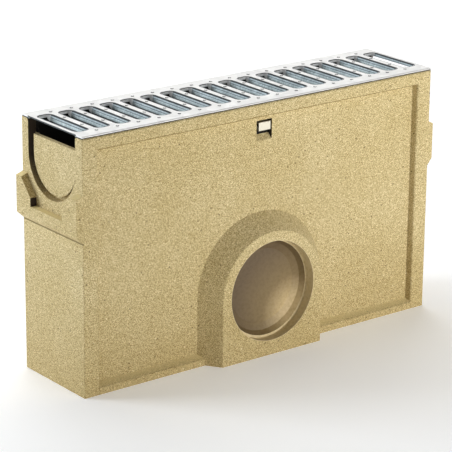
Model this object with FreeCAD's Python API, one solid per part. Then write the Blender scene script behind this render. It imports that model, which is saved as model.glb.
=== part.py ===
import FreeCAD, Part
import math
import os
from FreeCAD import Vector

# Channel drain sump unit: a narrow cast box that takes the water of a surface channel
# and passes it on through a pipe socket low on its front. Millimetres, +Z up, X along
# the channel, front to -Y. The origin is the middle of the base.

# Cast body
body_length = 500.0       # between the two end faces, without their collars
body_width = 118.0
body_height = 297.0       # top of the walls, where the grating lies
end_wall = 12.0
corner_radius = 1.2       # upright outer corners
rim_chamfer = 1.2         # outer top edge of the long walls

# Sunk panels of the long faces, each inside a raised frame
frame_depth = 8.0
frame_side = 20.0
frame_top = 15.0
frame_foot = 9.0
frame_draft = 1.5         # slope of the frame's inner sides
foot_slope = 3.5          # rise of the ledge above the foot of the frame
frame_edge = 1.2          # bevelled inner edge of the frame

# Chamber inside the body
side_wall = 11.0          # behind a sunk panel, at the top of the chamber
chamber_draft = 2.0       # each side narrows by this towards the floor
floor_thickness = 21.0
floor_radius = 14.0
rim_wall = 13.0           # long walls at the mouth
mouth_depth = 11.0        # straight part of the wide mouth
mouth_edge = 3.0          # rounded inner top edge of the long walls
mouth_slope = 8.0         # height of the slope below it
shelf_drop = 71.0         # wall top down to the shelves that carry the bucket
shelf_width = 8.0

# Channel inlets in the two ends, closed by thin panels to be knocked out
inlet_drop = 83.0         # wall top down to the bottom of the round inlet
recess_depth = 4.0        # end face to the face of the panel
panel_thickness = 5.0
panel_drop = 17.0         # wall top down to the top of the panel
groove_width = 5.0        # break line round the panel
groove_depth = 5.8

# Collars under the inlets: cradles for the next channel
left_collar_reach = 8.5
right_collar_reach = 6.0
collar_drop = 63.0
collar_height = 54.0
collar_top_fall = 3.0
collar_foot_bevel = 8.0
cradle_depth = 33.5       # collar top down to the cradle floor
cradle_floor_half = 31.0
cradle_step = 10.0        # upright part of the cradle sides
cradle_top_half = 49.0

# Pipe outlet with its arched boss
passage_radius = 57.0
socket_step = 3.0         # shoulder that stops the pipe
socket_depth = 12.0
disc_radius = 45.0        # flat part of the disc that closes the outlet until it is knocked out
disc_drop = 9.0           # shoulder to the face of the disc
disc_bend_radius = 53.0   # where the slope between them turns
disc_bend_drop = 6.0
disc_thickness = 6.0
boss_reach = 17.5         # in front of the frame
boss_rim = 12.0           # wall round the socket at the front
boss_flare = 17.5         # how much wider the boss is at the sunk panel
boss_edge = 1.5           # rounded front edge of the arch

# Pressed steel grating
sheet = 1.5
edge_inset = 0.5          # grating edge inside the faces of the body
skirt_gap = 0.5           # skirt to chamber mouth
skirt_depth = 8.0
skirt_end_gap = 30.0      # end of the grating to the end of a skirt
slot_pitch = 27.65
slot_width = 17.0
slot_margin = 5.5         # slot end to skirt
slot_corner = 6.0
slot_bevel = 1.0          # top edge of a slot
end_margin = 5.5          # least width of sheet beyond the last slot
lip_depth = 9.0           # pressed edge of a slot, from the top of the grating
lip_lean = 2.8            # how far a lip leans into its slot
end_lip_depth = 4.0       # pressed edge beside the ends of the grating

# Spring clip under the grating, with a nose in a window of each long wall
clip_width = 16.6
clip_sheet = 1.5
clip_wall_gap = 1.5       # leg to chamber wall
clip_face_gap = 0.3       # nose end behind the sunk panel
clip_plate_half = 22.0
nose_height = 10.4
nose_drop = 24.1          # wall top down to the nose
toe_fall = 7.0
toe_in = 4.0
window_left_gap = 3.6
window_right_gap = 1.8
window_top_gap = 2.6
window_foot_gap = 11.0
window_left = -7.0        # left side of the window from the middle of the body
sill_rise = 5.0           # the sill slopes up into the wall

# Silt bucket on the shelves
bucket_depth = 84.0
bucket_wall = 2.5
bucket_side_gap = 1.5
bucket_end_gap = 2.0
bucket_draft = 3.0
lug_thickness = 4.0
lug_gap = 1.0
lug_inset = 4.0
slit_pitch = 36.0
slit_width = 4.0
slit_height = 32.0
slit_drop = 24.0          # bucket rim down to the drain slits
slit_margin = 12.0        # least wall between the last slit and the bucket's end

# Wire handle of the bucket
wire_radius = 2.0
handle_reach = 45.0
arm_gap = 7.5             # middle of an arm to the inside of the bucket
handle_drop = 9.0         # bucket rim down to the pivot
handle_bend = 6.0
pivot_gap = 0.3
peg_radius = 2.5
peg_reach = 30.0          # pivot to the pegs that carry the folded handle
peg_gap = 0.3
peg_past_arm = 3.0

# Places worked out from the sizes above
half_length = body_length / 2
half_width = body_width / 2
panel_y = half_width - frame_depth
chamber_half = panel_y - side_wall
mouth_half = half_width - rim_wall
chamber_end = half_length - end_wall
shelf_z = body_height - shelf_drop
socket_radius = passage_radius + socket_step
outlet_z = floor_thickness + passage_radius
boss_y = half_width + boss_reach
grating_top = body_height + 2 * sheet
lip_z = grating_top - lip_depth
slot_half = mouth_half - skirt_gap - sheet - slot_margin
window_top = body_height - nose_drop + window_top_gap
window_height = window_top_gap + nose_height + window_foot_gap
window_width = window_left_gap + clip_width + window_right_gap
clip_left = window_left + window_left_gap
chamber_top = body_height - mouth_depth - mouth_slope
bucket_rim = shelf_z + lug_thickness
chamber_taper = chamber_draft / (chamber_top - floor_thickness)
bucket_half = chamber_half - chamber_taper * (chamber_top - bucket_rim) - bucket_side_gap
bucket_end = chamber_end - shelf_width - bucket_end_gap
bucket_taper = bucket_draft / bucket_depth
pivot_z = bucket_rim - handle_drop
arm_y = bucket_half - bucket_wall - arm_gap
overlap = 1.0             # how far cutting tools stand out of the solid


def polygon(points):
    """Face bounded by straight lines through the points."""
    return Part.Face(Part.makePolygon(points + points[:1]))


def block(low, high):
    """Box between two corners."""
    size = high - low
    return Part.makeBox(size.x, size.y, size.z, low)


def both_sides(shape, axis):
    """The shape and its mirror image across the middle plane."""
    return [shape, shape.mirror(Vector(0, 0, 0), axis)]


def edges_near(shape, test):
    """Edges whose every corner point passes the test."""
    return [e for e in shape.Edges if all(test(v.Point) for v in e.Vertexes)]


def close_to(a, b):
    return abs(a - b) < 1e-4


def rectangle_wire(half, low, high, y):
    """Upright rectangle in the plane y."""
    corners = [Vector(-half, y, low), Vector(half, y, low), Vector(half, y, high), Vector(-half, y, high)]
    return Part.makePolygon(corners + corners[:1])


def sunk_panel():
    """Pocket that leaves the raised frame on the front."""
    half = half_length - frame_side
    low = frame_foot
    high = body_height - frame_top
    face = rectangle_wire(half + frame_edge, low - frame_edge, high + frame_edge, -half_width)
    edge = rectangle_wire(half, low, high, frame_edge - half_width)
    panel = rectangle_wire(half - frame_draft, low + foot_slope, high - frame_draft, -panel_y)
    return Part.makeLoft([face, edge, panel], True, True)


def chamber_section():
    """Cross-section of the chamber in the plane x = 0."""
    half = [
        (chamber_half - chamber_draft, floor_thickness),
        (chamber_half, chamber_top),
        (mouth_half, chamber_top + mouth_slope),
        (mouth_half, body_height + overlap),
    ]
    right = [Vector(0, y, z) for y, z in half]
    left = [Vector(0, -y, z) for y, z in reversed(half)]
    return polygon(right + left)


def chamber():
    """Hollow of the body: the full length above the shelves, shorter below them."""
    section = chamber_section()
    long_part = section.extrude(Vector(2 * chamber_end, 0, 0))
    long_part.translate(Vector(-chamber_end, 0, 0))
    floor_edges = edges_near(long_part, lambda p: close_to(p.z, floor_thickness))
    floor_edges = [e for e in floor_edges if e.Length > chamber_end]
    long_part = long_part.makeFillet(floor_radius, floor_edges)
    low_end = chamber_end - shelf_width
    low_corner = Vector(low_end, -half_width, 0)
    shelf = block(low_corner, Vector(chamber_end + overlap, half_width, shelf_z))
    return long_part.cut(both_sides(shelf, Vector(1, 0, 0)))


def inlet_face(radius, x):
    """U-shaped outline of an inlet, open at the top of the wall."""
    centre_z = body_height - inlet_drop + mouth_half
    top = body_height + overlap
    left_top = Vector(x, -radius, top)
    left = Vector(x, -radius, centre_z)
    bottom = Vector(x, 0, centre_z - radius)
    right = Vector(x, radius, centre_z)
    right_top = Vector(x, radius, top)
    edges = [
        Part.makeLine(left_top, left),
        Part.Arc(left, bottom, right).toShape(),
        Part.makeLine(right, right_top),
        Part.makeLine(right_top, left_top),
    ]
    return Part.Face(Part.Wire(edges))


def end_inlet():
    """What is taken out of the right end: a recess on each side of the panel, the break line, the throat."""
    recess = inlet_face(mouth_half, half_length - recess_depth).extrude(Vector(recess_depth + overlap, 0, 0))
    groove_x = half_length - recess_depth - groove_depth
    ring = inlet_face(mouth_half, groove_x).cut(inlet_face(mouth_half - groove_width, groove_x))
    groove = ring.extrude(Vector(groove_depth + overlap, 0, 0))
    inside_x = chamber_end - overlap
    behind = half_length - recess_depth - panel_thickness - inside_x
    back_recess = inlet_face(chamber_half - chamber_draft, inside_x).extrude(Vector(behind, 0, 0))
    throat_low = Vector(inside_x, -mouth_half, body_height - panel_drop)
    throat = block(throat_low, Vector(half_length + overlap, mouth_half, body_height + overlap))
    return recess.fuse([groove, back_recess, throat])


def end_collar(reach):
    """Cradle block below the right inlet."""
    top = body_height - collar_drop
    foot = top - collar_height
    root = half_length - end_wall / 2
    face = half_length + reach
    outline = [
        Vector(root, -half_width, foot),
        Vector(half_length, -half_width, foot),
        Vector(face, -half_width, foot + collar_foot_bevel),
        Vector(face, -half_width, top - collar_top_fall),
        Vector(half_length, -half_width, top),
        Vector(root, -half_width, top),
    ]
    block_shape = polygon(outline).extrude(Vector(0, body_width, 0))
    low = top - cradle_depth
    half = [
        (cradle_floor_half, low),
        (cradle_floor_half, low + cradle_step),
        (cradle_top_half, top - collar_top_fall),
        (cradle_top_half, top + overlap),
    ]
    right = [Vector(half_length, y, z) for y, z in half]
    left = [Vector(half_length, -y, z) for y, z in reversed(half)]
    return block_shape.cut(polygon(right + left).extrude(Vector(reach + overlap, 0, 0)))


def arch_wire(radius, y):
    """Outline of the boss in the plane y: a round arch on straight sides."""
    left_foot = Vector(-radius, y, 0)
    left = Vector(-radius, y, outlet_z)
    top = Vector(0, y, outlet_z + radius)
    right = Vector(radius, y, outlet_z)
    right_foot = Vector(radius, y, 0)
    edges = [
        Part.makeLine(left_foot, left),
        Part.Arc(left, top, right).toShape(),
        Part.makeLine(right, right_foot),
        Part.makeLine(right_foot, left_foot),
    ]
    return Part.Wire(edges)


def outlet_boss():
    """Tapered arch round the outlet, rooted in the front wall."""
    front_radius = socket_radius + boss_rim
    taper = boss_flare / (boss_y - panel_y)
    root_y = panel_y - side_wall / 2
    root_radius = front_radius + taper * (boss_y - root_y)
    boss = Part.makeLoft([arch_wire(root_radius, -root_y), arch_wire(front_radius, -boss_y)], True, True)
    front_edges = edges_near(boss, lambda p: close_to(p.y, -boss_y))
    rounded = [e for e in front_edges if e.BoundBox.ZMax > outlet_z - 1e-4]
    return boss.makeFillet(boss_edge, rounded)


def outlet_bore():
    """Pipe socket, the dish down to the knock-out disc, and the passage behind the disc."""
    inward = Vector(0, 1, 0)
    shoulder_y = -boss_y + socket_depth
    bend_y = shoulder_y + disc_bend_drop
    disc_y = shoulder_y + disc_drop
    passage_y = disc_y + disc_thickness
    inside = chamber_half - chamber_draft
    front = Vector(0, -boss_y - overlap, outlet_z)
    socket = Part.makeCylinder(socket_radius, socket_depth + overlap, front, inward)
    rim_start = Vector(0, shoulder_y, outlet_z)
    rim = Part.makeCone(passage_radius, disc_bend_radius, disc_bend_drop, rim_start, inward)
    slope_start = Vector(0, bend_y, outlet_z)
    slope = Part.makeCone(disc_bend_radius, disc_radius, disc_y - bend_y, slope_start, inward)
    passage = Part.makeCylinder(passage_radius, -inside - passage_y, Vector(0, passage_y, outlet_z), inward)
    return [socket.fuse([rim, slope]), passage]


def clip_window():
    """Opening for a clip nose in the front wall."""
    foot = window_top - window_height
    outside = panel_y + overlap
    inside = chamber_half - chamber_draft
    slope = sill_rise / side_wall
    outline = [
        Vector(window_left, -outside, foot - slope * overlap),
        Vector(window_left, -outside, window_top),
        Vector(window_left, -inside, window_top),
        Vector(window_left, -inside, foot + slope * (panel_y - inside)),
    ]
    return polygon(outline).extrude(Vector(window_width, 0, 0))


def rim_edge():
    """Sliver taken off the outer top edge of the front wall."""
    outline = [
        Vector(-half_length - overlap, -half_width, body_height - rim_chamfer),
        Vector(-half_length - overlap, -half_width + rim_chamfer, body_height),
        Vector(-half_length - overlap, -half_width - overlap, body_height + overlap),
    ]
    return polygon(outline).extrude(Vector(body_length + 2 * overlap, 0, 0))


def sump_body():
    """The casting: box, collars and boss, less everything that is hollow."""
    across = Vector(0, 1, 0)
    along = Vector(1, 0, 0)
    outer = block(Vector(-half_length, -half_width, 0), Vector(half_length, half_width, body_height))
    upright = [e for e in outer.Edges if close_to(e.BoundBox.ZLength, body_height)]
    outer = outer.makeFillet(corner_radius, upright)
    outer = outer.cut(both_sides(sunk_panel(), across))
    left_collar = end_collar(left_collar_reach).mirror(Vector(0, 0, 0), along)
    outer = outer.fuse([left_collar, end_collar(right_collar_reach), outlet_boss()])
    hollows = [chamber()] + outlet_bore() + both_sides(end_inlet(), along)
    for hollow in (clip_window(), rim_edge()):
        hollows += both_sides(hollow, across)
    body = outer.cut(hollows).removeSplitter()
    mouth = edges_near(body, lambda p: close_to(abs(p.y), mouth_half) and close_to(p.z, body_height))
    return body.makeFillet(mouth_edge, mouth)


def hemmed_sheet(length):
    """Top sheet with its long edges folded under; the folded layer lies on the walls."""
    edge = half_width - edge_inset
    hem_end = mouth_half - skirt_gap
    top = grating_top
    under = top - sheet
    seat = body_height
    round_start = edge - sheet

    def half(side):
        corners = [(round_start, seat), (hem_end, seat), (hem_end, under)]
        points = [Vector(-length / 2, side * y, z) for y, z in corners]
        outermost = Vector(-length / 2, side * edge, under)
        hem = Part.Arc(Vector(-length / 2, side * round_start, top), outermost, points[0]).toShape()
        return [hem] + [Part.makeLine(a, b) for a, b in zip(points, points[1:])]

    def across(y, z):
        return Part.makeLine(Vector(-length / 2, -y, z), Vector(-length / 2, y, z))

    edges = half(1) + half(-1) + [across(round_start, top), across(hem_end, under)]
    return Part.Face(Part.Wire(Part.__sortEdges__(edges))).extrude(Vector(length, 0, 0))


def slot_centres():
    """Slots in pairs about the middle, so that a web lies at x = 0."""
    room = half_length - edge_inset - end_margin - slot_width / 2
    pairs = int((room - slot_pitch / 2) / slot_pitch) + 1
    right = [(i + 0.5) * slot_pitch for i in range(pairs)]
    return [-x for x in reversed(right)] + right


def slot_wire(centre, inset, z):
    """Level outline of a slot: a rectangle with round corners, drawn in from the punched size."""
    radius = slot_corner - inset
    reach_x = slot_width / 2 - slot_corner
    reach_y = slot_half - slot_corner
    corners = []
    for i, (side_x, side_y) in enumerate(((1, 1), (-1, 1), (-1, -1), (1, -1))):
        middle = Vector(centre + side_x * reach_x, side_y * reach_y, z)
        turns = [math.radians(90 * i + step) for step in (0, 45, 90)]
        corners.append([middle + Vector(math.cos(a), math.sin(a), 0) * radius for a in turns])
    edges = []
    for corner, following in zip(corners, corners[1:] + corners[:1]):
        edges.append(Part.Arc(*corner).toShape())
        edges.append(Part.makeLine(corner[-1], following[0]))
    return Part.Wire(edges)


def lip_inset(z):
    """How far the lip has leaned into its slot at the height z."""
    return lip_lean * (grating_top - slot_bevel - z) / (lip_depth - slot_bevel)


def slot_hole(centre):
    """What is punched out: a bevelled mouth, narrowing between the lips."""
    above = grating_top + overlap
    edge = grating_top - slot_bevel
    foot = lip_z - overlap
    wires = [
        slot_wire(centre, -slot_bevel - overlap, above),
        slot_wire(centre, 0, edge),
        slot_wire(centre, lip_inset(foot), foot),
    ]
    return Part.makeLoft(wires, True, True)


def slot_lip(centre):
    """Sheet pressed down round a slot, full depth along its sides and rising round its ends."""
    under = grating_top - sheet
    lip = Part.makeLoft([slot_wire(centre, lip_inset(z) - sheet, z) for z in (lip_z, under)], True, True)
    side_end = slot_half - slot_corner
    end = slot_half + sheet
    low = lip_z - overlap
    fall = overlap * (end - side_end) / (under - lip_z)
    half_x = slot_width / 2 + sheet + overlap
    wedge = polygon([
        Vector(centre - half_x, side_end - fall, low),
        Vector(centre - half_x, end, under),
        Vector(centre - half_x, end + overlap, under),
        Vector(centre - half_x, end + overlap, low),
    ]).extrude(Vector(2 * half_x, 0, 0))
    return lip.cut(both_sides(wedge, Vector(0, 1, 0)))


def grating():
    """Pressed sheet with cross slots whose lips stiffen the webs between them."""
    length = body_length - 2 * edge_inset
    skirt_y = mouth_half - skirt_gap
    skirt_half = length / 2 - skirt_end_gap
    skirt = block(Vector(-skirt_half, skirt_y - sheet, body_height - skirt_depth),
                  Vector(skirt_half, skirt_y, body_height + sheet))
    centres = slot_centres()
    beyond = block(Vector(centres[-1], -half_width, lip_z - overlap),
                   Vector(half_length, half_width, grating_top - end_lip_depth))
    ends = both_sides(beyond, Vector(1, 0, 0))
    lips = [slot_lip(centre).cut(ends) for centre in centres]
    added = both_sides(skirt, Vector(0, 1, 0)) + lips
    holes = [slot_hole(centre) for centre in centres]
    return hemmed_sheet(length).fuse(added).cut(holes).removeSplitter()


def lock_clip():
    """Spring strip welded under the middle web, bent into a nose at each window."""
    middle = clip_sheet / 2
    plate_z = lip_z - middle
    leg = chamber_half - clip_wall_gap - middle
    nose = panel_y - clip_face_gap - middle
    nose_top = body_height - nose_drop - middle
    nose_foot = nose_top - nose_height + clip_sheet
    half = [
        (clip_plate_half, plate_z),
        (leg, nose_top),
        (nose, nose_top),
        (nose, nose_foot),
        (leg, nose_foot),
        (leg - toe_in, nose_foot - toe_fall),
    ]
    right = [Vector(clip_left, y, z) for y, z in half]
    left = [Vector(clip_left, -y, z) for y, z in reversed(half)]
    strip = Part.Wire(Part.makePolygon(left + right)).makeOffset2D(middle, 0, False, False, True)
    return Part.Face(strip).extrude(Vector(clip_width, 0, 0))


def bucket_level(inset, z):
    """Level outline of the bucket at height z, inset from its outer faces."""
    shrink = inset + bucket_taper * (bucket_rim - z)
    x = bucket_end - shrink
    y = bucket_half - shrink
    corners = [Vector(-x, -y, z), Vector(x, -y, z), Vector(x, y, z), Vector(-x, y, z)]
    return Part.makePolygon(corners + corners[:1])


def drain_slits():
    """Slits through both long sides of the bucket."""
    room = bucket_end - bucket_draft - slit_margin
    pairs = int(room / slit_pitch + 0.5)
    top = bucket_rim - slit_drop
    slits = []
    for i in range(pairs):
        x = (i + 0.5) * slit_pitch
        low = Vector(x - slit_width / 2, -bucket_half - overlap, top - slit_height)
        slit = block(low, Vector(x + slit_width / 2, bucket_half + overlap, top))
        slits += both_sides(slit, Vector(1, 0, 0))
    return slits


def silt_bucket():
    """Tapered plastic bucket that hangs by end lugs on the shelves of the body."""
    foot = bucket_rim - bucket_depth
    outer = Part.makeLoft([bucket_level(0, foot), bucket_level(0, bucket_rim)], True, True)
    low_level = bucket_level(bucket_wall, foot + bucket_wall)
    inner = Part.makeLoft([low_level, bucket_level(bucket_wall, bucket_rim)], True, True)
    across = Vector(0, 1, 0)
    along = Vector(1, 0, 0)
    lug_half = bucket_half - lug_inset
    lug = block(Vector(bucket_end - bucket_wall / 2, -lug_half, shelf_z),
                Vector(chamber_end - lug_gap, lug_half, bucket_rim))
    peg_z = pivot_z - wire_radius - peg_gap - peg_radius
    peg_start = arm_y - peg_past_arm
    peg_length = bucket_half - bucket_wall / 2 - bucket_taper * (bucket_rim - peg_z) - peg_start
    pegs = []
    for x in (-peg_reach, peg_reach):
        peg = Part.makeCylinder(peg_radius, peg_length, Vector(x, peg_start, peg_z), across)
        pegs += both_sides(peg, across)
    pivot_start = Vector(0, -bucket_half - overlap, pivot_z)
    pivot = Part.makeCylinder(wire_radius + pivot_gap, 2 * (bucket_half + overlap), pivot_start, across)
    shell = outer.cut([inner]).fuse(both_sides(lug, along) + pegs)
    return shell.cut(drain_slits() + [pivot]).removeSplitter()


def bent_path(corners, radius):
    """Straight runs through level corner points, joined by tangent arcs."""
    edges = []
    start = corners[0]
    for before, corner, after in zip(corners, corners[1:], corners[2:]):
        back = (before - corner).normalize()
        ahead = (after - corner).normalize()
        middle = (back + ahead).normalize()
        enter = corner + back * radius
        leave = corner + ahead * radius
        centre = enter + ahead * radius
        edges.append(Part.makeLine(start, enter))
        edges.append(Part.Arc(enter, centre - middle * radius, leave).toShape())
        start = leave
    edges.append(Part.makeLine(start, corners[-1]))
    return Part.Wire(edges)


def bucket_handle():
    """Bail of bent wire, folded level inside the bucket, with its ends in the pivot holes."""
    pin_y = bucket_half - bucket_taper * handle_drop
    corners = [
        Vector(0, pin_y, pivot_z),
        Vector(0, arm_y, pivot_z),
        Vector(handle_reach, arm_y, pivot_z),
        Vector(handle_reach, -arm_y, pivot_z),
        Vector(0, -arm_y, pivot_z),
        Vector(0, -pin_y, pivot_z),
    ]
    section = Part.Wire(Part.makeCircle(wire_radius, corners[0], Vector(0, 1, 0)))
    return bent_path(corners, handle_bend).makePipeShell([section], True, True)


def main():
    os.makedirs("parts", exist_ok=True)
    pieces = {
        "sump_body": sump_body(),
        "grating": grating(),
        "lock_clip": lock_clip(),
        "silt_bucket": silt_bucket(),
        "bucket_handle": bucket_handle(),
    }
    for name, shape in pieces.items():
        shape.exportStep("parts/" + name + ".step")
        print(name, shape.isValid(), len(shape.Solids), round(shape.Volume), shape.BoundBox)


main()
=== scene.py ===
# %% [markdown]
# # Channel drain sump unit
# A sump unit is the deep box at the end of a surface channel. Rain falls through its steel
# grating, a bucket inside holds back silt and leaves, and the water leaves by a pipe socket low
# on the front. The box is cast from polymer concrete, so most of what the eye sees is one sandy
# surface. This lesson takes the shapes from a drawn model and gives them their finishes.

import math

import bmesh
import bpy
from mathutils import Matrix, Vector


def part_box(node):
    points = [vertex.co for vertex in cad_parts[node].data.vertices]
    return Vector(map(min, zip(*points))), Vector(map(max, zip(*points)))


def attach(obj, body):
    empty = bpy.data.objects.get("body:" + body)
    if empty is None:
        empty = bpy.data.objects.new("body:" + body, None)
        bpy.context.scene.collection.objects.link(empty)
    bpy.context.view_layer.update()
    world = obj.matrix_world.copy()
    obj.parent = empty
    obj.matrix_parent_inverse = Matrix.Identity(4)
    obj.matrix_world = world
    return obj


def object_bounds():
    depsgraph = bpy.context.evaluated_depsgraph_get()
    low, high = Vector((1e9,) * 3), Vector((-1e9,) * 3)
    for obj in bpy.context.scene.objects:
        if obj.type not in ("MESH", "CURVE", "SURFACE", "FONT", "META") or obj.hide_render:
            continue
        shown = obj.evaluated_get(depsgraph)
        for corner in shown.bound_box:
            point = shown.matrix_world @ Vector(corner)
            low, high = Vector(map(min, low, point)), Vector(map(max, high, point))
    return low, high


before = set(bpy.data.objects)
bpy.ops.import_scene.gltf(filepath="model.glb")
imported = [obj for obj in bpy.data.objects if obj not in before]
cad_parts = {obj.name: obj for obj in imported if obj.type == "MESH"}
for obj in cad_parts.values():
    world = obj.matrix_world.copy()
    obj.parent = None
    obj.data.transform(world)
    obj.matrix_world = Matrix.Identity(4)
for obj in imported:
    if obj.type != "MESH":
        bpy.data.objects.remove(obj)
cad_low, cad_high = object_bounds()
MM = 0.001
print("nodes:", sorted(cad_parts))
print("size in mm:", [round(side / MM, 1) for side in cad_high - cad_low])

# %% [markdown]
# ## Helpers
# Colours are easiest to note as sRGB hex values, but shaders work in linear light, so one function
# turns the first into the second. A material is a small tree of nodes. Adding a node, setting its
# values and linking its inputs is always the same three steps, so one function does them for every
# kind of node, and the materials below read like recipes. Three short ones start a material, put it
# on a drawn piece, and turn the size of a pattern's marks into its scale.

# %% Colours, nodes and materials
# A mix node has one set of sockets per kind of data. These are the numbers of those for colours.
MIX_FACTOR, MIX_A, MIX_B, MIX_RESULT = 0, 6, 7, 2
BLEND = {"data_type": "RGBA"}
TINT = {"data_type": "RGBA", "blend_type": "MULTIPLY"}


def linear(hex_colour):
    """Turns an sRGB hex value into the linear colour that shaders use."""
    shares = [int(hex_colour[i:i + 2], 16) / 255 for i in (0, 2, 4)]
    curve = [s / 12.92 if s <= 0.04045 else ((s + 0.055) / 1.055) ** 2.4 for s in shares]
    return (*curve, 1.0)


def add_node(tree, kind, settings=None, links=None):
    """Adds a node. A setting is a property or an input by name or number; ramp lists its colours."""
    node = tree.nodes.new(kind)
    for name, value in (settings or {}).items():
        if name == "ramp":
            stops = node.color_ramp.elements
            while len(stops) < len(value):
                stops.new(1.0)
            for stop, (place, hex_colour) in zip(stops, value):
                stop.position = place
                stop.color = linear(hex_colour)
        elif isinstance(name, str) and hasattr(node, name):
            setattr(node, name, value)
        else:
            node.inputs[name].default_value = value
    for name, output in (links or {}).items():
        tree.links.new(output, node.inputs[name])
    return node


def new_material(name):
    """An empty node material of that name, and its tree."""
    material = bpy.data.materials.new(name)
    material.use_nodes = True
    material.node_tree.nodes.clear()
    return material, material.node_tree


def dress(node_name, material):
    """Puts a material on every slot of a drawn piece."""
    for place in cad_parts[node_name].material_slots:
        place.material = material
    print(node_name, "wears", material.name)


def per_mm(size_mm):
    """Texture scale, per metre, of a pattern whose marks are size_mm across."""
    return 1 / (size_mm * MM)


print("white is", linear("FFFFFF"))

# %% [markdown]
# ## Sand, quartz and pores
# The box is quartz sand and fine gravel bound with resin and cast in a steel mould. The skin is
# dry and matt, and the eye reads it by its grit: tan sand, scattered pale quartz, and small dark
# pores where air met the mould. Real sand grains are about half a millimetre, less than a pixel
# here, so they are drawn at one millimetre, just large enough to show. Coarser grains and wide
# clouds from the mould lie over them. Toward the foot the colour is painted a little darker, a
# painted shade for the light that falls off near the floor. Three layers of noise and two cell
# patterns give the grit, and the height gives the darker foot.

# %% Sand, quartz and pores
# Each layer: the size of its marks in mm, how rough its noise is, and its colours.
SAND_LAYERS = {
    "sand": (1.0, 0.8, ((0.39, "927D4A"), (0.50, "C9B480"), (0.61, "F0E1B4"))),
    "coarse grains": (3.5, 0.6, ((0.30, "EDEADF"), (0.60, "FFFFFF"))),
    "mould clouds": (90.0, 0.5, ((0.35, "F8F6EF"), (0.65, "FFFFFF"))),
}
COARSE_SHARE = 0.25
# Height in mm below which the colour is painted darker toward the foot: painted shade.
FOOT_SHADE_HEIGHT = 130.0
# Spacing of the spots in mm, their radius as a share of it, and the share of places left empty.
QUARTZ = (8.0, 0.13, 0.7)
PORES = (9.0, 0.13, 0.55)
SPOT_CORE = 0.55


def sand_skin(tree, here, place):
    """Colour of the sand with painted shade at the foot, the pattern of its grains, and the tone of its
    coarse grains.
    """
    patterns = {}
    tones = {}
    for name, (grain, roughness, ramp) in SAND_LAYERS.items():
        noise = add_node(tree, "ShaderNodeTexNoise",
                         {"Scale": per_mm(grain), "Detail": 2.0, "Roughness": roughness},
                         {"Vector": place})
        patterns[name] = noise.outputs["Fac"]
        tone = add_node(tree, "ShaderNodeValToRGB", {"ramp": ramp}, {"Fac": patterns[name]})
        tones[name] = tone.outputs["Color"]
    gritty = add_node(tree, "ShaderNodeMix", {**TINT, MIX_FACTOR: COARSE_SHARE},
                      {MIX_A: tones["sand"], MIX_B: tones["coarse grains"]})
    clouded = add_node(tree, "ShaderNodeMix", {**TINT, MIX_FACTOR: 1.0},
                       {MIX_A: gritty.outputs[MIX_RESULT], MIX_B: tones["mould clouds"]})
    spot = add_node(tree, "ShaderNodeSeparateXYZ", {}, {"Vector": here})
    # Painted shade: the colour darkens toward the foot.
    foot_shade = add_node(tree, "ShaderNodeMapRange", {"From Min": FOOT_SHADE_HEIGHT * MM, "From Max": 0.0},
                       {"Value": spot.outputs["Z"]})
    foot_shaded = add_node(tree, "ShaderNodeMix", {**TINT, MIX_B: linear("F1EDE4")},
                      {MIX_FACTOR: foot_shade.outputs["Result"], MIX_A: clouded.outputs[MIX_RESULT]})
    return foot_shaded.outputs[MIX_RESULT], patterns["sand"], tones["coarse grains"]


def scattered(tree, place, spacing, radius, empty):
    """1 in the core of small round spots that are scattered over the surface, fading to 0 round them."""
    cells = add_node(tree, "ShaderNodeTexVoronoi", {"Scale": per_mm(spacing)}, {"Vector": place})
    near = add_node(tree, "ShaderNodeMapRange", {"From Min": radius, "From Max": radius * SPOT_CORE},
                    {"Value": cells.outputs["Distance"]})
    draw = add_node(tree, "ShaderNodeSeparateColor", {}, {"Color": cells.outputs["Color"]})
    filled = add_node(tree, "ShaderNodeMath", {"operation": "GREATER_THAN", 1: empty},
                      {0: draw.outputs["Red"]})
    spots = add_node(tree, "ShaderNodeMath", {"operation": "MULTIPLY"},
                     {0: near.outputs["Result"], 1: filled.outputs["Value"]})
    return spots.outputs["Value"]


print("sand layers:", list(SAND_LAYERS))

# %% [markdown]
# ## Smooth skin in the outlet
# The pipe outlet is cast against a smooth plug, so it has a closed skin with hardly any grit. Its
# colours are painted light and shade: the wall of the socket is painted pale, as if lit, and the
# thin disc that closes it is brown, darkest at its top and lower left as painted shade and lighter
# low on its right as a painted pool of light. The skin is found by its distance from the outlet's
# axis, so it stays part of the one casting.

# %% Smooth skin in the outlet
OUTLET_AXIS = (0.0, 0.0, 78.0)
OUTLET_BACK = -45.0
SOCKET_RADIUS = 60.4
DISC_RADIUS = 57.0
# A point low on the disc's right, and how far from it the painted light fades into painted shade.
LIT_PATCH_MIDDLE = (46.0, 0.0, 38.0)
LIT_PATCH_REACH = 100.0
DISC_LIGHT_AND_SHADE = ((0.15, "CDB586"), (0.45, "826D45"), (0.9, "624F33"))


def distance_from(tree, here, axis_mm):
    """Distance from a line along Y through a point."""
    away = add_node(tree, "ShaderNodeVectorMath", {"operation": "SUBTRACT", 1: Vector(axis_mm) * MM},
                    {0: here})
    across = add_node(tree, "ShaderNodeVectorMath", {"operation": "MULTIPLY", 1: (1.0, 0.0, 1.0)},
                      {0: away.outputs["Vector"]})
    length = add_node(tree, "ShaderNodeVectorMath", {"operation": "LENGTH"}, {0: across.outputs["Vector"]})
    return length.outputs["Value"]


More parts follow.
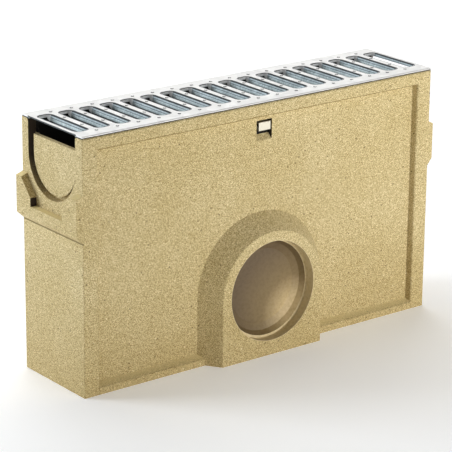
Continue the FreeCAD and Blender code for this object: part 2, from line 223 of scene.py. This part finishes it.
def outlet_skin_and_shading(tree, here):
    """Share of the smooth skin inside the pipe outlet, and its colour of painted light and shade."""
    reach = distance_from(tree, here, OUTLET_AXIS)
    spot = add_node(tree, "ShaderNodeSeparateXYZ", {}, {"Vector": here})
    in_front = add_node(tree, "ShaderNodeMath", {"operation": "LESS_THAN", 1: OUTLET_BACK * MM},
                        {0: spot.outputs["Y"]})
    in_socket = add_node(tree, "ShaderNodeMath", {"operation": "LESS_THAN", 1: SOCKET_RADIUS * MM},
                         {0: reach})
    share = add_node(tree, "ShaderNodeMath", {"operation": "MULTIPLY"},
                     {0: in_front.outputs["Value"], 1: in_socket.outputs["Value"]})
    from_lit_patch = add_node(tree, "ShaderNodeMapRange", {"From Max": LIT_PATCH_REACH * MM},
                         {"Value": distance_from(tree, here, LIT_PATCH_MIDDLE)})
    disc_shading = add_node(tree, "ShaderNodeValToRGB", {"ramp": DISC_LIGHT_AND_SHADE}, {"Fac": from_lit_patch.outputs["Result"]})
    # Painted light: the socket's wall is painted pale, as if lit.
    on_wall = add_node(tree, "ShaderNodeMath", {"operation": "GREATER_THAN", 1: DISC_RADIUS * MM},
                       {0: reach})
    outlet_shading = add_node(tree, "ShaderNodeMix", {**BLEND, MIX_B: linear("DECB9E")},
                    {MIX_FACTOR: on_wall.outputs["Value"], MIX_A: disc_shading.outputs["Color"]})
    return share.outputs["Value"], outlet_shading.outputs[MIX_RESULT]


print("outlet axis at", OUTLET_AXIS[2], "mm above the base")

# %% [markdown]
# ## Painted shade and light
# Most of these tones are painted light and shade. The chamber's walls are painted nearly black, a
# painted shade for its dark inside. Edges, creases, the inlets and the foot of a cradle's wall get
# painted shade, the cradles and collars painted light, and the ledges are a little paler. Each of
# these is found by where it is, with a box and the tilt of the surface in it, which needs no painted
# image. The boxes are folded across the middle, so one also serves the other end and the other long
# face.

# %% Painted shade and light
ANY_TILT = (-0.1, 1.1)
SHARP = 0.01
# Each place: two corners of a box in mm, a range for the sideways share of the surface's normal, the
# height in mm over which the tone sets in above the foot of the box, and its colour.
PAINTED_LIGHT_AND_SHADE = {
    # Painted shade in the next four: a dark line at the top edge of a frame, the side of a clip window, the
    # side wall of an inlet and the crease under a collar.
    "top edge of a frame":
        (((0.0, 57.6, 250.0), (230.0, 59.4, 290.0)), (0.4, 0.9), SHARP, "8A7746"),
    "side of a clip window":
        (((14.8, 39.0, 251.0), (15.2, 51.2, 275.6)), (-0.1, 0.3), SHARP, "2E241A"),
    "side wall of an inlet":
        (((239.95, 20.0, 205.0), (249.9, 56.0, 297.0)), (0.35, 1.1), 50.0, "3E3122"),
    "crease under a collar":
        (((249.0, 0.0, 178.4), (251.2, 59.2, 180.6)), ANY_TILT, SHARP, "85744A"),
    # Painted light: the floor of a cradle and the top of a collar are painted pale, as if lit.
    "painted light on a cradle":
        (((250.2, 0.0, 199.9), (258.3, 30.9, 200.9)), ANY_TILT, SHARP, "EAD69A"),
    "painted light on a collar":
        (((250.2, 48.5, 230.4), (258.3, 59.2, 234.5)), (-0.1, 0.5), SHARP, "EAD69A"),
    # A paler tone on a ledge, growing paler upward from the foot of the box.
    "paler on a ledge":
        (((0.0, 50.5, 5.0), (232.0, 59.0, 17.0)), (0.3, 0.5), 12.0, "EAD69A"),
    # Painted shade at the foot of a cradle's wall.
    "foot of a cradle's wall":
        (((250.3, 30.4, 199.0), (260.0, 33.0, 211.0)), (0.9, 1.1), SHARP, "3A2C22"),
    # Painted shade: the chamber's inside is painted nearly black.
    "chamber":
        (((0.0, 0.0, 20.0), (239.9, 46.2, 296.8)), ANY_TILT, SHARP, "211D17"),
}


def lay_painted_tone(tree, spot, tilt, colour, box, tilts, fade, tone):
    """Lays a tone over a colour where the spot is in the box and the tilt in its range."""
    foot = box[0][2]
    rise = add_node(tree, "ShaderNodeMapRange", {"From Min": foot * MM, "From Max": (foot + fade) * MM},
                    {"Value": spot.outputs["Z"]})
    cover = rise.outputs["Result"]
    limits = [(spot.outputs[axis], low * MM, high * MM) for axis, low, high in zip("XYZ", *box)]
    for value, low, high in limits + [(tilt, *tilts)]:
        within = add_node(tree, "ShaderNodeMath",
                          {"operation": "COMPARE", 1: (low + high) / 2, 2: (high - low) / 2}, {0: value})
        covered = add_node(tree, "ShaderNodeMath", {"operation": "MULTIPLY"},
                           {0: cover, 1: within.outputs["Value"]})
        cover = covered.outputs["Value"]
    painted = add_node(tree, "ShaderNodeMix", {**BLEND, MIX_B: linear(tone)},
                       {MIX_FACTOR: cover, MIX_A: colour})
    return painted.outputs[MIX_RESULT]


def add_painted_tones(tree, coordinates, colour, painted_tones):
    """Lays all painted tones of a list over a colour."""
    folded = add_node(tree, "ShaderNodeVectorMath", {"operation": "ABSOLUTE"},
                      {0: coordinates.outputs["Object"]})
    spot = add_node(tree, "ShaderNodeSeparateXYZ", {}, {"Vector": folded.outputs["Vector"]})
    facing = add_node(tree, "ShaderNodeSeparateXYZ", {}, {"Vector": coordinates.outputs["Normal"]})
    tilt = add_node(tree, "ShaderNodeMath", {"operation": "ABSOLUTE"}, {0: facing.outputs["Y"]})
    for place_and_tone in painted_tones.values():
        colour = lay_painted_tone(tree, spot, tilt.outputs["Value"], colour, *place_and_tone)
    return colour


print("stained places:", len(PAINTED_LIGHT_AND_SHADE))

# %% [markdown]
# ## Polymer concrete
# The material puts these together. The same patterns drive the colour and the bump, because a pore
# is both darker and deeper than the sand round it, and where the outlet's skin closes over the sand
# it is smoother and less rough. All patterns are turned a little, because a noise pattern is at its
# flattest on the planes of its own grid, and every face of the body would lie along one.

# %% Polymer concrete
PATTERN_TURN = (0.5, 0.3, 0.2)
GRIT_DEPTH = 0.6


def polymer_concrete(name, painted_tones):
    material, tree = new_material(name)
    coordinates = add_node(tree, "ShaderNodeTexCoord")
    here = coordinates.outputs["Object"]
    turned = add_node(tree, "ShaderNodeMapping", {"Rotation": PATTERN_TURN}, {"Vector": here})
    place = turned.outputs["Vector"]
    sandy, grains, mottle = sand_skin(tree, here, place)
    pores = scattered(tree, place, *PORES)
    quartz = add_node(tree, "ShaderNodeMix", {**BLEND, MIX_B: linear("EBDCB0")},
                      {MIX_FACTOR: scattered(tree, place, *QUARTZ), MIX_A: sandy})
    pored = add_node(tree, "ShaderNodeMix", {**BLEND, MIX_B: linear("6E5C34")},
                     {MIX_FACTOR: pores, MIX_A: quartz.outputs[MIX_RESULT]})
    smooth, outlet_shading = outlet_skin_and_shading(tree, here)
    mottled = add_node(tree, "ShaderNodeMix", {**TINT, MIX_FACTOR: 1.0}, {MIX_A: outlet_shading, MIX_B: mottle})
    skinned = add_node(tree, "ShaderNodeMix", BLEND,
                       {MIX_FACTOR: smooth, MIX_A: pored.outputs[MIX_RESULT],
                        MIX_B: mottled.outputs[MIX_RESULT]})
    colour = add_painted_tones(tree, coordinates, skinned.outputs[MIX_RESULT], painted_tones)
    height = add_node(tree, "ShaderNodeMath", {"operation": "SUBTRACT"}, {0: grains, 1: pores})
    grit = add_node(tree, "ShaderNodeMapRange", {"To Min": 0.55, "To Max": 0.1}, {"Value": smooth})
    bump = add_node(tree, "ShaderNodeBump", {"Distance": GRIT_DEPTH * MM},
                    {"Strength": grit.outputs["Result"], "Height": height.outputs["Value"]})
    roughness = add_node(tree, "ShaderNodeMapRange", {"To Min": 0.92, "To Max": 0.6}, {"Value": smooth})
    surface = add_node(tree, "ShaderNodeBsdfPrincipled", {"IOR": 1.5},
                       {"Base Color": colour, "Roughness": roughness.outputs["Result"],
                        "Normal": bump.outputs["Normal"]})
    add_node(tree, "ShaderNodeOutputMaterial", {}, {"Surface": surface.outputs["BSDF"]})
    return material


dress("sump_body", polymer_concrete("polymer_concrete_cast", PAINTED_LIGHT_AND_SHADE))

# %% [markdown]
# ## Spangle of the zinc
# The grating is pressed from steel sheet and dipped in molten zinc. Zinc freezes in crystals of
# about a centimetre, the spangle, and each one throws the light back a little differently. A cell
# pattern gives the crystals, and noise bends it first, because their borders are uneven.

# %% Spangle of the zinc
SPANGLE = 11.0
BORDER_BEND = 0.5 * SPANGLE


def spangle(tree, here):
    """Colour of the zinc, and a number that differs from crystal to crystal."""
    warp = add_node(tree, "ShaderNodeTexNoise", {"Scale": per_mm(SPANGLE / 2), "Detail": 2.0},
                    {"Vector": here})
    warped = add_node(tree, "ShaderNodeVectorMath",
                      {"operation": "MULTIPLY_ADD", 1: (BORDER_BEND * MM,) * 3},
                      {0: warp.outputs["Color"], 2: here})
    crystals = add_node(tree, "ShaderNodeTexVoronoi", {"Scale": per_mm(SPANGLE)},
                        {"Vector": warped.outputs["Vector"]})
    draw = add_node(tree, "ShaderNodeSeparateColor", {}, {"Color": crystals.outputs["Color"]})
    zinc = add_node(tree, "ShaderNodeValToRGB", {"ramp": ((0.0, "D8D7D4"), (1.0, "E6E5E1"))},
                    {"Fac": draw.outputs["Red"]})
    return zinc.outputs["Color"], draw.outputs["Green"]


print("crystals of", SPANGLE, "mm")

# %% [markdown]
# ## Lips, rims and painted shade
# The slots are punched and their edges drawn down into lips, which leaves upright streaks and a dark
# crimp line half way down. All lips are drawn to one depth, so their bands follow the height. Painted
# shade darkens the bend, the cut foot of a lip, the foot of a slot's end and the gap under the hem,
# and a narrow painted shadow line runs round each slot. These follow from the height, from the
# direction in which the surface faces, and for the rim from the distance to a rectangle with round
# corners.

# %% Lips of the slots
DRAW_STREAK = 1.6
STREAK_STRETCH = (1.0, 1.0, 0.08)
# Heights in mm and colours, from the cut foot of a lip up to its bend. The dark bands at the foot and at
# the bend are painted shade.
LIP_BANDS = (
    (291.0, "1E2122"), (293.3, "1E2122"), (293.7, "B4BFBC"), (296.0, "B4BFBC"), (296.3, "566063"),
    (296.9, "566063"), (297.2, "8E9896"), (298.4, "8E9896"), (298.7, "2C3032"), (299.0, "2C3032"),
)


def lip_colour(tree, here, spot):
    """Colour of a lip: bands by height, under upright streaks."""
    stretch = add_node(tree, "ShaderNodeMapping", {"Scale": STREAK_STRETCH}, {"Vector": here})
    streaks = add_node(tree, "ShaderNodeTexNoise", {"Scale": per_mm(DRAW_STREAK), "Detail": 3.0},
                       {"Vector": stretch.outputs["Vector"]})
    upright = add_node(tree, "ShaderNodeValToRGB", {"ramp": ((0.35, "C4CACC"), (0.65, "FFFFFF"))},
                       {"Fac": streaks.outputs["Fac"]})
    low, high = LIP_BANDS[0][0], LIP_BANDS[-1][0]
    height = add_node(tree, "ShaderNodeMapRange", {"From Min": low * MM, "From Max": high * MM},
                      {"Value": spot.outputs["Z"]})
    bands = add_node(tree, "ShaderNodeValToRGB",
                     {"ramp": [((z - low) / (high - low), tone) for z, tone in LIP_BANDS]},
                     {"Fac": height.outputs["Result"]})
    lip = add_node(tree, "ShaderNodeMix", {**TINT, MIX_FACTOR: 1.0},
                   {MIX_A: bands.outputs["Color"], MIX_B: upright.outputs["Color"]})
    return lip.outputs[MIX_RESULT]


print("lip bands:", len(LIP_BANDS) // 2)

# %% Rims of the slots
SLOT_PITCH = 27.65
SLOT_HALF = (9.5, 39.5)
SLOT_CORNER = 7.0
RIM_WIDTH = 0.9


def slot_shadow_rim(tree, spot):
    """1 in each slot and on the narrow rim round it that carries a painted shadow line."""
    turn = add_node(tree, "ShaderNodeMath", {"operation": "WRAP", 1: SLOT_PITCH * MM, 2: 0.0},
                    {0: spot.outputs["X"]})
    sideways = add_node(tree, "ShaderNodeMath", {"operation": "SUBTRACT", 1: SLOT_PITCH / 2 * MM},
                        {0: turn.outputs["Value"]})
    outside = []
    for place, half in ((sideways.outputs["Value"], SLOT_HALF[0]), (spot.outputs["Y"], SLOT_HALF[1])):
        away = add_node(tree, "ShaderNodeMath", {"operation": "ABSOLUTE"}, {0: place})
        past = add_node(tree, "ShaderNodeMath", {"operation": "SUBTRACT", 1: (half - SLOT_CORNER) * MM},
                        {0: away.outputs["Value"]})
        beyond = add_node(tree, "ShaderNodeMath", {"operation": "MAXIMUM", 1: 0.0},
                          {0: past.outputs["Value"]})
        outside.append(beyond.outputs["Value"])
    corner = add_node(tree, "ShaderNodeCombineXYZ", {}, {"X": outside[0], "Y": outside[1]})
    reach = add_node(tree, "ShaderNodeVectorMath", {"operation": "LENGTH"}, {0: corner.outputs["Vector"]})
    shadow_rim = add_node(tree, "ShaderNodeMath", {"operation": "LESS_THAN", 1: (SLOT_CORNER + RIM_WIDTH) * MM},
                   {0: reach.outputs["Value"]})
    return shadow_rim.outputs["Value"]


print("slot pitch:", SLOT_PITCH, "mm")

# %% Painted shade on the steel
# Heights in mm. Outside the slots, the gap under a hem is below the first. At the end of a slot the
# bend is painted dark above the second, and the lip is painted dark below the third, both painted shade.
HEM_GAP = 298.2
END_LINE_FOOT = 299.4
END_SHADE_TOP = 296.8
# Shares of the surface's normal, upward or along a slot, that tell the parts of a slot's edge apart.
BEND_FACING = ((0.45, "000000"), (0.55, "FFFFFF"), (0.85, "FFFFFF"), (0.95, "000000"))
END_FACING = 0.3
STRAIGHT_END_FACING = 0.85
UNDER_FACING = -0.1


def painted_slot_shade(tree, spot, facing, endwise, among_slots):
    """1 on steel painted dark as shade: bends, undersides, gaps under the hems and the feet of slot ends.
    """
    bends = add_node(tree, "ShaderNodeValToRGB", {"ramp": BEND_FACING}, {"Fac": facing.outputs["Z"]})
    lengthwise = add_node(tree, "ShaderNodeMath", {"operation": "LESS_THAN", 1: END_FACING}, {0: endwise})
    upper_bend = add_node(tree, "ShaderNodeMath", {"operation": "GREATER_THAN", 1: END_LINE_FOOT * MM},
                          {0: spot.outputs["Z"]})
    shaded_bend = add_node(tree, "ShaderNodeMath", {"operation": "MAXIMUM"},
                         {0: lengthwise.outputs["Value"], 1: upper_bend.outputs["Value"]})
    slot_bend = add_node(tree, "ShaderNodeMath", {"operation": "MULTIPLY"},
                         {0: shaded_bend.outputs["Value"], 1: among_slots})
    bend = add_node(tree, "ShaderNodeMath", {"operation": "MULTIPLY"},
                    {0: bends.outputs["Color"], 1: slot_bend.outputs["Value"]})
    under = add_node(tree, "ShaderNodeMath", {"operation": "LESS_THAN", 1: UNDER_FACING},
                     {0: facing.outputs["Z"]})
    hem_foot = add_node(tree, "ShaderNodeMath", {"operation": "LESS_THAN", 1: HEM_GAP * MM},
                        {0: spot.outputs["Z"]})
    hem_line = add_node(tree, "ShaderNodeMath", {"operation": "GREATER_THAN"},
                        {0: hem_foot.outputs["Value"], 1: among_slots})
    straight_end = add_node(tree, "ShaderNodeMath", {"operation": "GREATER_THAN", 1: STRAIGHT_END_FACING},
                            {0: endwise})
    end_foot = add_node(tree, "ShaderNodeMath", {"operation": "LESS_THAN", 1: END_SHADE_TOP * MM},
                        {0: spot.outputs["Z"]})
    end_shade = add_node(tree, "ShaderNodeMath", {"operation": "MULTIPLY"},
                         {0: straight_end.outputs["Value"], 1: end_foot.outputs["Value"]})
    painted_shade = bend
    for cover in (under, hem_line, end_shade):
        painted_shade = add_node(tree, "ShaderNodeMath", {"operation": "MAXIMUM"},
                        {0: painted_shade.outputs["Value"], 1: cover.outputs["Value"]})
    return painted_shade.outputs["Value"]


print("hem gap below", HEM_GAP, "mm")

# %% [markdown]
# ## Galvanised sheet
# In the open air zinc soon grows a thin pale skin of zinc minerals, so the sheet is only part metal
# to the eye and looks light grey from every side. One material does the whole sheet. It starts from
# the spangle and lays the lips over it, then a painted highlight on the ends of the slots, then a
# painted shadow line round each slot and the painted shade on the steel.

# %% Galvanised sheet
SLOT_REACH = 47.0
LIP_FACING = (0.6, 0.45)
FLAT_FACING = 0.9
END_HIGHLIGHT_FACING = ((0.30, "000000"), (0.45, "FFFFFF"))


def galvanised_sheet():
    material, tree = new_material("galvanised_sheet_spangled")
    coordinates = add_node(tree, "ShaderNodeTexCoord")
    here = coordinates.outputs["Object"]
    spot = add_node(tree, "ShaderNodeSeparateXYZ", {}, {"Vector": here})
    facing = add_node(tree, "ShaderNodeSeparateXYZ", {}, {"Vector": coordinates.outputs["Normal"]})
    endwise = add_node(tree, "ShaderNodeMath", {"operation": "ABSOLUTE"}, {0: facing.outputs["Y"]})
    aside = add_node(tree, "ShaderNodeMath", {"operation": "ABSOLUTE"}, {0: spot.outputs["Y"]})
    among_slots = add_node(tree, "ShaderNodeMath", {"operation": "LESS_THAN", 1: SLOT_REACH * MM},
                           {0: aside.outputs["Value"]})
    zinc, crystal = spangle(tree, here)
    drawn = add_node(tree, "ShaderNodeMapRange", {"From Min": LIP_FACING[0], "From Max": LIP_FACING[1]},
                     {"Value": facing.outputs["Z"]})
    on_lip = add_node(tree, "ShaderNodeMath", {"operation": "MULTIPLY"},
                      {0: drawn.outputs["Result"], 1: among_slots.outputs["Value"]})
    lip = lip_colour(tree, here, spot)
    lipped = add_node(tree, "ShaderNodeMix", BLEND,
                      {MIX_FACTOR: on_lip.outputs["Value"], MIX_A: zinc, MIX_B: lip})
    # Painted highlight: the ends of the slots are painted near white.
    end = add_node(tree, "ShaderNodeValToRGB", {"ramp": END_HIGHLIGHT_FACING},
                   {"Fac": endwise.outputs["Value"]})
    on_end_highlight = add_node(tree, "ShaderNodeMath", {"operation": "MULTIPLY"},
                      {0: end.outputs["Color"], 1: on_lip.outputs["Value"]})
    end_highlighted = add_node(tree, "ShaderNodeMix", {**BLEND, MIX_B: linear("F6F8F8")},
                     {MIX_FACTOR: on_end_highlight.outputs["Value"], MIX_A: lipped.outputs[MIX_RESULT]})
    # Painted shadow line: a dark rim round each slot on the top of the sheet.
    upward = add_node(tree, "ShaderNodeMath", {"operation": "GREATER_THAN", 1: FLAT_FACING},
                      {0: facing.outputs["Z"]})
    shadow_rim = add_node(tree, "ShaderNodeMath", {"operation": "MULTIPLY"},
                   {0: upward.outputs["Value"], 1: slot_shadow_rim(tree, spot)})
    rim_shaded = add_node(tree, "ShaderNodeMix", {**BLEND, MIX_B: linear("5A6061")},
                      {MIX_FACTOR: shadow_rim.outputs["Value"], MIX_A: end_highlighted.outputs[MIX_RESULT]})
    # Painted shade: bends, undersides, gaps under the hems and the feet of slot ends are painted dark.
    painted_shade = painted_slot_shade(tree, spot, facing, endwise.outputs["Value"], among_slots.outputs["Value"])
    colour = add_node(tree, "ShaderNodeMix", {**BLEND, MIX_B: linear("26292A")},
                      {MIX_FACTOR: painted_shade, MIX_A: rim_shaded.outputs[MIX_RESULT]})
    roughness = add_node(tree, "ShaderNodeMapRange", {"To Min": 0.34, "To Max": 0.46}, {"Value": crystal})
    surface = add_node(tree, "ShaderNodeBsdfPrincipled", {"Metallic": 0.35},
                       {"Base Color": colour.outputs[MIX_RESULT], "Roughness": roughness.outputs["Result"]})
    add_node(tree, "ShaderNodeOutputMaterial", {}, {"Surface": surface.outputs["BSDF"]})
    return material


galvanised = galvanised_sheet()
dress("grating", galvanised)

# %% [markdown]
# ## Zinc-plated spring and wire
# The clip that holds the grating down is a strip of spring steel, and the bucket's handle is drawn
# wire. Both are zinc-plated, which leaves a bright metal with fine lines along the way it was rolled
# or drawn. Stretched noise gives those lines: long along the piece, short across.

# %% Zinc-plated spring and wire
ROLL_LINE = 0.7
ROLL_DEPTH = 0.05
ROUGHNESS_RANGE = 0.08


def zinc_plated(name, hex_colour, roughness, stretch):
    material, tree = new_material(name)
    place = add_node(tree, "ShaderNodeTexCoord")
    along = add_node(tree, "ShaderNodeMapping", {"Scale": stretch}, {"Vector": place.outputs["Object"]})
    lines = add_node(tree, "ShaderNodeTexNoise", {"Scale": per_mm(ROLL_LINE), "Detail": 2.0},
                     {"Vector": along.outputs["Vector"]})
    rough = add_node(tree, "ShaderNodeMapRange",
                     {"To Min": roughness - ROUGHNESS_RANGE, "To Max": roughness + ROUGHNESS_RANGE},
                     {"Value": lines.outputs["Fac"]})
    bump = add_node(tree, "ShaderNodeBump", {"Strength": 0.15, "Distance": ROLL_DEPTH * MM},
                    {"Height": lines.outputs["Fac"]})
    surface = add_node(tree, "ShaderNodeBsdfPrincipled",
                       {"Metallic": 1.0, "Base Color": linear(hex_colour)},
                       {"Roughness": rough.outputs["Result"], "Normal": bump.outputs["Normal"]})
    add_node(tree, "ShaderNodeOutputMaterial", {}, {"Surface": surface.outputs["BSDF"]})
    return material


dress("lock_clip", zinc_plated("spring_steel_zinc_plated", "C8C3B2", 0.42, (1.0, 0.06, 0.06)))
dress("bucket_handle", zinc_plated("steel_wire_zinc_plated", "C9CDD0", 0.3, (0.1, 0.1, 1.0)))

# %% [markdown]
# ## Moulded polypropylene
# The silt bucket is injection moulded from black polypropylene: a dull black with a soft sheen
# and a fine spark-eroded grain from the mould.

# %% Moulded polypropylene
MOULD_GRAIN = 1.2
GRAIN_DEPTH = 0.1


def moulded_polypropylene():
    material, tree = new_material("polypropylene_moulded_black")
    place = add_node(tree, "ShaderNodeTexCoord")
    grain = add_node(tree, "ShaderNodeTexNoise", {"Scale": per_mm(MOULD_GRAIN), "Detail": 2.0},
                     {"Vector": place.outputs["Object"]})
    tone = add_node(tree, "ShaderNodeValToRGB", {"ramp": ((0.35, "17181A"), (0.7, "26282A"))},
                    {"Fac": grain.outputs["Fac"]})
    bump = add_node(tree, "ShaderNodeBump", {"Strength": 0.3, "Distance": GRAIN_DEPTH * MM},
                    {"Height": grain.outputs["Fac"]})
    surface = add_node(tree, "ShaderNodeBsdfPrincipled", {"Roughness": 0.5, "IOR": 1.49},
                       {"Base Color": tone.outputs["Color"], "Normal": bump.outputs["Normal"]})
    add_node(tree, "ShaderNodeOutputMaterial", {}, {"Surface": surface.outputs["BSDF"]})
    return material


dress("silt_bucket", moulded_polypropylene())

# %% [markdown]
# ## Steep sills in the clip windows
# Below the clip's nose the sill of each window rises steeply into the wall. It is a plain wedge on
# the drawn sill: three corners of a section, pushed along X. The section is listed once and mirrored
# to the back, which keeps both sills the same. They wear the same concrete, with one tone of their
# own: a painted shadow, a dark line where the sill ends under the nose.

# %% Steep sills in the clip windows
SILL_ENDS = (-6.95, 14.95)
SILL_SECTION = ((-50.95, 251.5), (-40.6, 256.1), (-40.6, 261.9))
# Painted shadow: a dark line under the clip's nose.
SILL_PAINTED_SHADOW = {
    "painted shadow under the nose":
        (((0.0, 40.0, 255.0), (16.0, 44.8, 265.0)), ANY_TILT, SHARP, "211D17"),
}

sills = bmesh.new()
for side in (1, -1):
    caps = [[sills.verts.new(Vector((x, side * y, z)) * MM) for y, z in SILL_SECTION] for x in SILL_ENDS]
    sills.faces.new(caps[0])
    sills.faces.new(reversed(caps[1]))
    for i in range(len(SILL_SECTION)):
        n = (i + 1) % len(SILL_SECTION)
        sills.faces.new((caps[0][n], caps[0][i], caps[1][i], caps[1][n]))
bmesh.ops.recalc_face_normals(sills, faces=sills.faces)
sill_mesh = bpy.data.meshes.new("window_sills")
sills.to_mesh(sill_mesh)
sills.free()
window_sills = bpy.data.objects.new("window_sills", sill_mesh)
bpy.context.scene.collection.objects.link(window_sills)
window_sills.data.materials.append(polymer_concrete("polymer_concrete_sill", SILL_PAINTED_SHADOW))
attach(window_sills, "unit")
print("sill corners:", len(sill_mesh.vertices))

# %% [markdown]
# ## Pips on the webs
# Between the slots the sheet carries rows of small raised pips that keep a shoe or a tyre from
# slipping. They are pressed in the same stroke as the slots, so they have the sheet's finish. Each
# is a shallow dome: rings of points on a rounded profile, closed by a point at the top. All of them
# are one mesh, because nothing about one pip differs from the next.

# %% Pips on the webs
WEB_COUNT = 17
PIP_ROWS = (-44.5, -17.0, 17.0, 44.5)
PIP_RADIUS = 2.0
PIP_HEIGHT = 0.9
PIP_RINGS = 4
PIP_SIDES = 16


def add_pip(mesh, centre):
    """Adds one dome whose rim lies on the sheet."""
    angles = [2 * math.pi * k / PIP_SIDES for k in range(PIP_SIDES)]
    rings = []
    for i in range(PIP_RINGS):
        turn = math.pi / 2 * i / PIP_RINGS
        radius = PIP_RADIUS * MM * math.cos(turn)
        rise = Vector((0, 0, PIP_HEIGHT * MM * math.sin(turn)))
        rings.append([
            mesh.verts.new(centre + rise + Vector((radius * math.cos(a), radius * math.sin(a), 0)))
            for a in angles
        ])
    top = mesh.verts.new(centre + Vector((0, 0, PIP_HEIGHT * MM)))
    for low, high in zip(rings, rings[1:]):
        for k in range(PIP_SIDES):
            n = (k + 1) % PIP_SIDES
            mesh.faces.new((low[k], low[n], high[n], high[k]))
    for k in range(PIP_SIDES):
        mesh.faces.new((rings[-1][k], rings[-1][(k + 1) % PIP_SIDES], top))
    mesh.faces.new(list(reversed(rings[0])))


pips = bmesh.new()
sheet_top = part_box("grating")[1].z
for web in range(WEB_COUNT):
    web_x = (web - (WEB_COUNT - 1) / 2) * SLOT_PITCH * MM
    for row in PIP_ROWS:
        add_pip(pips, Vector((web_x, row * MM, sheet_top)))
pip_mesh = bpy.data.meshes.new("web_pips")
pips.to_mesh(pip_mesh)
pips.free()
pip_mesh.polygons.foreach_set("use_smooth", [len(p.vertices) < PIP_SIDES for p in pip_mesh.polygons])
web_pips = bpy.data.objects.new("web_pips", pip_mesh)
bpy.context.scene.collection.objects.link(web_pips)
web_pips.data.materials.append(galvanised)
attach(web_pips, "unit")
print("pips:", WEB_COUNT * len(PIP_ROWS))

# %% [markdown]
# ## Floor
# A plain pale floor keeps the eye on the object. The paper glows a little, like a light table, so
# it stays white from every side.

# %% Floor
FLOOR_SIDE = 16.0
FLOOR_GLOW = 0.25

floor_mesh = bpy.data.meshes.new("studio_floor")
half = FLOOR_SIDE / 2
floor_corners = [(-half, -half, 0), (half, -half, 0), (half, half, 0), (-half, half, 0)]
floor_mesh.from_pydata(floor_corners, [], [(0, 1, 2, 3)])
floor = bpy.data.objects.new("studio_floor", floor_mesh)
floor.location.z = cad_low.z
bpy.context.scene.collection.objects.link(floor)
paper, paper_tree = new_material("backdrop_paper_white")
paper_surface = add_node(paper_tree, "ShaderNodeBsdfPrincipled",
                         {"Base Color": linear("FCFCFB"), "Roughness": 0.9, "Specular IOR Level": 0.2,
                          "Emission Color": linear("FFFFFF"), "Emission Strength": FLOOR_GLOW})
add_node(paper_tree, "ShaderNodeOutputMaterial", {}, {"Surface": paper_surface.outputs["BSDF"]})
floor_mesh.materials.append(paper)
print("floor:", FLOOR_SIDE, "m wide")

# %% [markdown]
# ## Lamps
# The main lamp stands low and to the right in front, with a grid that keeps it off the floor, so the
# front brightens toward the right and the outlet's left flank falls into shade. A lamp behind the
# left end lights that end but not the front. A broad one behind is what the grating mirrors, one above
# lights it for the other views, and a small one at the front left puts a glint on the ends of the
# slots. The lamps themselves stay out of the picture.

# %% Lamps
def add_lamp(name, place, aim, sides, watts, spread=180, hex_colour="FFFFFF"):
    """A soft lamp of that width and height that faces its aim.

    A small spread, in degrees, acts like a grid in front of it.
    """
    lamp = bpy.data.lights.new(name, "AREA")
    lamp.shape = "RECTANGLE"
    lamp.size, lamp.size_y = sides
    lamp.energy = watts
    lamp.spread = math.radians(spread)
    lamp.color = linear(hex_colour)[:3]
    body = bpy.data.objects.new(name, lamp)
    body.location = place
    body.rotation_mode = "QUATERNION"
    body.rotation_quaternion = (Vector(aim) - Vector(place)).to_track_quat("-Z", "Y")
    body.visible_camera = False
    bpy.context.scene.collection.objects.link(body)
    print(name, watts, "W")


middle = (cad_low + cad_high) / 2
main_aim = middle + Vector((0.5, 0, 0.27))
add_lamp("main_lamp", (1.1, -3.3, 0.36), main_aim, (1.2, 0.65), 6.9, spread=44)
add_lamp("glint_lamp", (-1.9, -1.45, 1.0), middle, (0.6, 0.6), 1.4)
add_lamp("end_lamp", (-2.0, 1.6, 0.9), middle, (1.2, 1.2), 52, hex_colour="EEF5FF")
add_lamp("back_lamp", (1.4, 2.2, 1.6), middle, (2.4, 2.4), 30)
add_lamp("top_lamp", (0.2, 0.9, 2.6), middle, (1.6, 1.6), 20)

# %% Air
AIR_LIGHT = 0.16

world = bpy.data.worlds.new("studio_air")
world.use_nodes = True
world.node_tree.nodes.clear()
air = add_node(world.node_tree, "ShaderNodeBackground", {"Color": linear("FFFFFF"), "Strength": AIR_LIGHT})
add_node(world.node_tree, "ShaderNodeOutputWorld", {}, {"Surface": air.outputs["Background"]})
bpy.context.scene.world = world
bpy.context.scene.view_settings.view_transform = "Standard"
print("light from all round:", AIR_LIGHT)

# %% [markdown]
# ## Camera
# The camera was fitted to the corners of the box in the photograph: it looks down a little from the
# front left with a long lens. Its place is noted as two angles and a distance from the point it aims
# at, which is easier to picture than three coordinates.

# %% Camera
PICTURE_SIDE = 452
FOCAL_PIXELS = 2311
SENSOR_WIDTH = 36.0
CAMERA_AZIMUTH = -37.72
CAMERA_ELEVATION = 18.49
CAMERA_ROLL = 0.5
CAMERA_DISTANCE = 2.685
CAMERA_AIM = Vector((-0.0100, 0.0, 0.1377))

turn = math.radians(CAMERA_AZIMUTH)
lift = math.radians(CAMERA_ELEVATION)
back = Vector((math.sin(turn) * math.cos(lift), -math.cos(turn) * math.cos(lift), math.sin(lift)))
camera_data = bpy.data.cameras.new("photo_camera")
camera_data.sensor_width = SENSOR_WIDTH
camera_data.lens = FOCAL_PIXELS * SENSOR_WIDTH / PICTURE_SIDE
camera = bpy.data.objects.new("photo_camera", camera_data)
aimed = (-back).to_track_quat("-Z", "Y").to_matrix().to_4x4()
camera.matrix_world = (Matrix.Translation(CAMERA_AIM + back * CAMERA_DISTANCE) @ aimed
                       @ Matrix.Rotation(math.radians(CAMERA_ROLL), 4, "Z"))
bpy.context.scene.collection.objects.link(camera)
bpy.context.scene.camera = camera
print("lens", round(camera_data.lens, 1), "mm")
